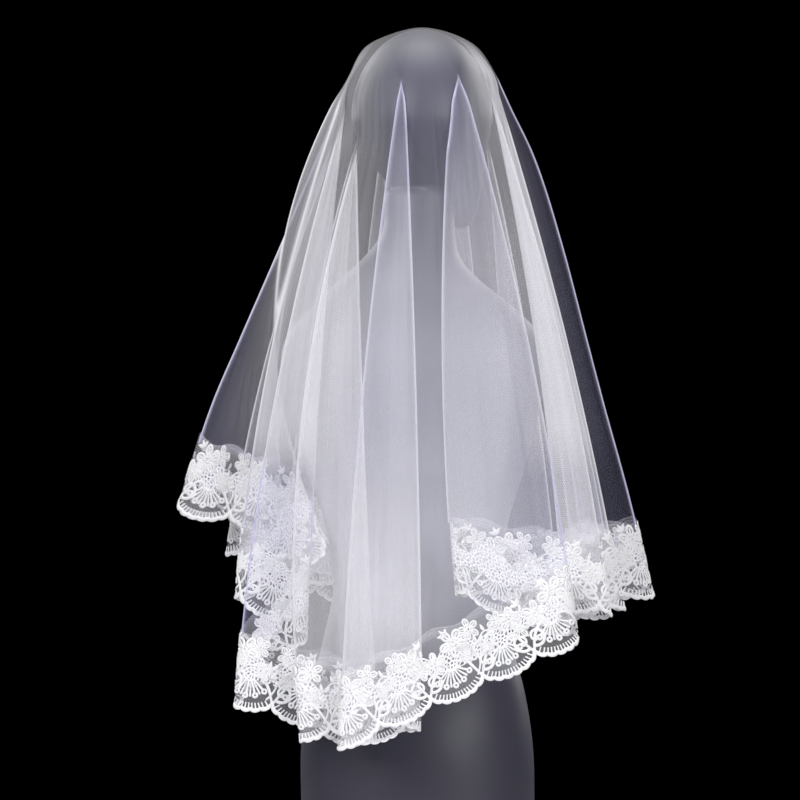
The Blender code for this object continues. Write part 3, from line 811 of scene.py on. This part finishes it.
# %% Flowers
parts = []
index = np.arange(SCALLOPS)
vary = np.sin(2.3 * index)
size = np.where(is_even, 1.25, 1.05) + 0.1 * vary
height = np.where(is_even, 55.0, 50.0) + 3 * vary
clusters = (
    (centres - 5 * mirror, height, size, 0.2 + 1.7 * vary),
    (centres - 24 * mirror, height - 17, size * 0.8, 0.7 - vary),
    (centres + 16 * mirror, height + 8, size * 0.75, 2.1 * vary),
    (centres + 21 * mirror, height - 22, size * 0.6, 1.1 + vary),
)
oval_turn = np.linspace(0, 2 * math.pi, 11)
petal_loop = np.stack([3.5 * np.sin(oval_turn), 9.2 - 4.9 * np.cos(oval_turn)], axis=-1)
petal_rib = np.array([[0.0, 5.0], [0.0, 8.5], [0.0, 12.0]])
for at, lift, scale, spin in clusters:
    for petal in range(5):
        turn = spin + math.radians(72 * petal)
        width = 1.35 * scale[:, None]
        parts.append(cords(stamped(petal_loop, at, lift, scale, turn=turn), width))
        parts.append(cords(stamped(petal_rib, at, lift, scale, turn=turn), 0.8 * width, rise=0.7))
    heart = 2.6 * np.stack([np.sin(oval_turn), np.cos(oval_turn)], axis=-1)
    parts.append(cords(stamped(heart, at, lift, scale), 1.3, rise=1.2))
for petal in (-1, 0, 1):
    path = leaf(10.0, 40 * petal, (0, 0), curl=20 * petal, count=6)
    parts.append(cords(stamped(path, centres - 16 * mirror, height + 12, turn=0.5), swell(1.9, 6)))
flowers = new_embroidery("lace_flower_stitches", parts)

# %% [markdown]
# ## Top of the band
#
# Two fine threads run along the top of the band in a shallow wave. They are no
# whiter than the net itself, so they take its material, and only double it.

# %% Top lines
parts = []
for rest, swing in ((72.0, 5.0), (77.0, 4.0)):
    count = SCALLOPS * 12
    length = np.arange(count + 1) * HEM_LENGTH / count
    wave = rest + swing * np.cos(2 * math.pi * length / PITCH)
    parts.append(cords(above_hem(length, wave)[None], 0.8, rise=0.2))
top_lines = new_embroidery("lace_top_threads", parts, lace_net_material, "Band")

# %% [markdown]
# ## The display form
#
# The form is a moulded shell: a torso without limbs, a neck and a plain egg for
# a head. The torso is a loft through oval sections. The head is a squashed
# sphere whose lower half narrows and moves forward to the chin. A voxel remesh
# joins the two, and a little smoothing rounds the neck as the mould does. Its
# slate paint has a faint cloud and orange peel, and a ramp of colours by height
# paints light and shade on it: pale at the breast, darker at the hips and head.

# %% Form
# The torso's oval at each drop: drop, middle x, half width, and half depth behind
# and in front.
FORM_SECTIONS = (
    (196, -3, 42, 38, 52),
    (250, -5, 46, 45, 48),
    (275, -12, 58, 52, 50),
    (300, -15, 82, 60, 52),
    (335, -12, 122, 68, 56),
    (365, -10, 150, 76, 64),
    (400, -10, 160, 83, 76),
    (450, -9, 152, 86, 90),
    (520, -8, 134, 82, 97),
    (600, -7, 109, 72, 84),
    (660, -6, 100, 67, 76),
    (730, -6, 112, 80, 80),
    (800, -6, 130, 99, 86),
    (860, -6, 139, 108, 88),
    (930, -5, 140, 106, 86),
    (1000, -5, 138, 100, 82),
)
FORM_SIDES = 96
TRUNK_ROWS = 150
HEAD_ROWS = 64
HEAD_HALF_WIDTH = 85.0
HEAD_HALF_DEPTH = 98.0
HEAD_CHIN_DROP = 240.0
HEAD_TURN = math.radians(35)
CHIN_REACH = 80.0
CHIN_TAPER = 0.30
HEAD_TOP = 1.4


def trunk_points():
    """Rings of the torso: half an oval behind and half an oval in front, with sizes
    read on a smooth curve through the sections."""
    drop = np.linspace(FORM_SECTIONS[0][0], FORM_SECTIONS[-1][0], TRUNK_ROWS)
    known = [row[0] for row in FORM_SECTIONS]
    middle, wide, back, front = (
        smooth_through(known, [row[k] for row in FORM_SECTIONS], drop)[:, None] for k in range(1, 5)
    )
    turn = 2 * math.pi * np.arange(FORM_SIDES)[None, :] / FORM_SIDES
    depth = np.where(np.cos(turn) > 0, back, front)
    height = np.broadcast_to(CROWN_HEIGHT - drop[:, None], depth.shape)
    return np.stack([middle + wide * np.sin(turn), -depth * np.cos(turn), height], axis=-1)


def head_points():
    """Rings of the head from crown to chin: a sphere's rings, squashed to the half
    sizes, narrowed by the taper and moved towards the chin below the widest one."""
    angle = math.pi * (np.arange(HEAD_ROWS)[:, None] + 0.02) / (HEAD_ROWS - 0.96)
    below = np.maximum(0.0, -np.cos(angle))
    reach = np.where(below > 0, HEAD_CHIN_DROP - HEAD_WIDEST_DROP, HEAD_WIDEST_DROP - HEAD_TOP)
    size = np.sin(angle) * (1 - CHIN_TAPER * below)
    forward = CHIN_REACH * below**2
    turn = 2 * math.pi * np.arange(FORM_SIDES)[None, :] / FORM_SIDES
    x = forward * math.sin(HEAD_TURN) + HEAD_HALF_WIDTH * size * np.sin(turn)
    y = forward * math.cos(HEAD_TURN) - HEAD_HALF_DEPTH * size * np.cos(turn)
    z = CROWN_HEIGHT - HEAD_WIDEST_DROP + reach * np.cos(angle)
    return np.stack([x, y, np.broadcast_to(z, x.shape)], axis=-1)


def closed_loft(rings):
    """Faces of a stack of closed rings, with a flat cap on each end."""
    rows, sides = rings.shape[:2]
    faces = grid_faces(rows, sides, closed=True).tolist()
    faces.append(list(range(sides))[::-1])
    faces.append(list(range((rows - 1) * sides, rows * sides)))
    return faces


form_material, tree, shader = new_material("satin_painted_fibreglass")
shader.inputs["Specular IOR Level"].default_value = 0.35
place = add_node(tree, "ShaderNodeTexCoord").outputs["Object"]
# Cloudy patches about 60 mm wide, where hands and spray have left the paint uneven.
cloud = add_node(tree, "ShaderNodeTexNoise", {"Vector": place, "Scale": 16.0, "Detail": 4.0}).outputs[0]
# Painted light and shade by height: the slate is painted pale at the breast and fades to painted shade at
# the hips and the head.
height = add_node(tree, "ShaderNodeSeparateXYZ", {0: place}).outputs["Z"]
paint = add_node(tree, "ShaderNodeValToRGB", {"Fac": height})
PAINT_AND_PAINTED_LIGHT = (
    (0.0, "#33323E"),
    (0.21, "#383744"),
    (0.33, "#C2C2CE"),
    (0.46, "#B0B0BC"),
    (0.60, "#9A9AA6"),
    (0.68, "#868692"),
    (0.78, "#6E6E7A"),
    (0.86, "#4A4A56"),
)
stops = paint.color_ramp.elements
while len(stops) < len(PAINT_AND_PAINTED_LIGHT):
    stops.new(0.5)
for stop, (level_m, code) in zip(stops, PAINT_AND_PAINTED_LIGHT):
    stop.position = level_m
    stop.color = linear(code)
paint.color_ramp.interpolation = "EASE"
inputs = {0: 0.12, 6: paint.outputs["Color"], 7: linear("#55555F")}
faded = add_node(tree, "ShaderNodeMix", inputs, data_type="RGBA").outputs[2]
inputs = {0: cloud, 6: faded, 7: paint.outputs["Color"]}
uneven = add_node(tree, "ShaderNodeMix", inputs, data_type="RGBA").outputs[2]
tree.links.new(uneven, shader.inputs["Base Color"])
inputs = {"Value": cloud, "To Min": 0.38, "To Max": 0.55}
rough = add_node(tree, "ShaderNodeMapRange", inputs).outputs[0]
tree.links.new(rough, shader.inputs["Roughness"])
# Orange peel of sprayed paint: soft bumps about 2 mm wide.
inputs = {"Vector": place, "Scale": 450.0, "Detail": 1.0}
peel = add_node(tree, "ShaderNodeTexNoise", inputs).outputs[0]
inputs = {"Strength": 0.15, "Distance": 0.0003, "Height": peel}
relief = add_node(tree, "ShaderNodeBump", inputs).outputs["Normal"]
tree.links.new(relief, shader.inputs["Normal"])

rings = [trunk_points() + SHIFT, head_points() + SHIFT]
trunk_faces, head_faces = (closed_loft(shape) for shape in rings)
offset = rings[0].shape[0] * FORM_SIDES
faces = trunk_faces + [[corner + offset for corner in face] for face in head_faces]
rough_mesh = bpy.data.meshes.new("form_before_joining")
form_points = np.concatenate([shape.reshape(-1, 3) for shape in rings])
rough_mesh.from_pydata((form_points * MM).tolist(), [], faces)
form = bpy.data.objects.new("painted_form", rough_mesh)
scene.collection.objects.link(form)
join = form.modifiers.new("Join", "REMESH")
join.mode = "VOXEL"
join.voxel_size = 0.004
join.use_smooth_shade = True
relax = form.modifiers.new("Relax", "SMOOTH")
relax.factor = 0.5
relax.iterations = 6
bpy.context.view_layer.update()
finished = form.evaluated_get(bpy.context.evaluated_depsgraph_get())
form_mesh = bpy.data.meshes.new_from_object(finished)
form.modifiers.clear()
form.data = form_mesh
form_mesh.materials.clear()
form_mesh.materials.append(form_material)
form_mesh.shade_smooth()
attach(form, "root")
print("form:", len(form_mesh.polygons), "faces")

# %% [markdown]
# ## What stands for what
#
# Each new piece stands in for the CAD solid that it refines, so that solid is
# hidden.

# %% Hide the CAD solids
embroidery = [edge, scrolls, flowers, top_lines]
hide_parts("tulle")
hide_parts("lace_edging")
for piece in embroidery:
    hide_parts("lace_edging")
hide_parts("display_form")

# %% [markdown]
# ## Floor
#
# A display form stands on a studio floor. A pale matt disc is enough to show that
# it stands and to send a little light back up into the folds.

# %% Floor
FLOOR_SIDES = 96
FLOOR_RADIUS = 0.75
floor_material, tree, shader = new_material("matt_painted_floor")
shader.inputs["Base Color"].default_value = linear("#C9C9CC")
shader.inputs["Roughness"].default_value = 0.8
turn = 2 * math.pi * np.arange(FLOOR_SIDES) / FLOOR_SIDES
floor_mesh = bpy.data.meshes.new("floor")
rim = FLOOR_RADIUS * np.stack([np.cos(turn), np.sin(turn), 0 * turn], axis=-1)
floor_mesh.from_pydata(rim.tolist(), [], [list(range(FLOOR_SIDES))])
floor_mesh.materials.append(floor_material)
floor = bpy.data.objects.new("floor", floor_mesh)
scene.collection.objects.link(floor)
print("floor radius in metres:", FLOOR_RADIUS)

# %% [markdown]
# ## Lights
#
# Net only shows when light catches it against something dark, so the studio is
# black behind and softly lit from all round. Large softboxes on the camera's side
# light the cloth, and weaker ones light the front. Area lights stand in for them,
# because their size gives the same soft shadows.

# %% Lights
def softbox(name, place, aim, size, power, colour="#FFFFFF"):
    """A square area light at place, turned to face aim. It doesn't show itself."""
    light = bpy.data.lights.new(name, "AREA")
    light.size = size
    light.energy = power
    light.color = linear(colour)[:3]
    lamp = bpy.data.objects.new(name, light)
    scene.collection.objects.link(lamp)
    lamp.location = place
    direction = Vector(aim) - Vector(place)
    lamp.rotation_euler = direction.to_track_quat("-Z", "Y").to_euler()
    lamp.visible_camera = False
    return lamp


AIM = (0.0, 0.0, 0.6)
softbox("key", (-2.2, -3.0, 2.0), AIM, 2.0, 120)
softbox("fill", (2.4, -3.0, 1.4), AIM, 2.0, 98)
softbox("front_left", (-2.2, 2.8, 1.8), AIM, 2.0, 55)
softbox("front_right", (2.2, 2.8, 1.8), AIM, 2.0, 55)
softbox("top", (0.0, 0.0, 3.2), AIM, 1.6, 40)

world = bpy.data.worlds.new("dark_studio")
scene.world = world
world.use_nodes = True
background = world.node_tree.nodes["Background"]
background.inputs["Color"].default_value = linear("#000000")
background.inputs["Strength"].default_value = 1.0
print("softboxes stand round", AIM)

# %% [markdown]
# ## Camera
#
# Clothes are photographed with a long lens from far off, which keeps upright
# folds upright. We put the camera 14 m behind the form at the picture's own
# height, and work its focal length out from the width that it has to hold.

# %% Camera
# The picture is 800 pixels square, and each pixel is 1.2 mm at the veil. The
# veil's middle line is at column 422 and its crown at row 28.
DISTANCE = 14.0
FRAME_WIDTH = 0.96
PIXEL = 1.2
PICTURE_MIDDLE = 400
MIDDLE_COLUMN = 422
CROWN_ROW = 28
centre_x = (PICTURE_MIDDLE - MIDDLE_COLUMN) * PIXEL * MM + SHIFT[0] * MM
centre_z = (CROWN_HEIGHT - (PICTURE_MIDDLE - CROWN_ROW) * PIXEL) * MM
camera_data = bpy.data.cameras.new("camera")
camera_data.sensor_width = 36.0
camera_data.lens = camera_data.sensor_width * DISTANCE / FRAME_WIDTH
camera_data.clip_end = 50.0
camera = bpy.data.objects.new("camera", camera_data)
scene.collection.objects.link(camera)
camera.location = (centre_x, -DISTANCE, centre_z)
camera.rotation_euler = (math.radians(90), 0.0, 0.0)
scene.camera = camera
scene.view_settings.view_transform = "Standard"
scene.cycles.transparent_max_bounces = 48
print(f"lens {camera_data.lens:.0f} mm at {DISTANCE:.0f} m")
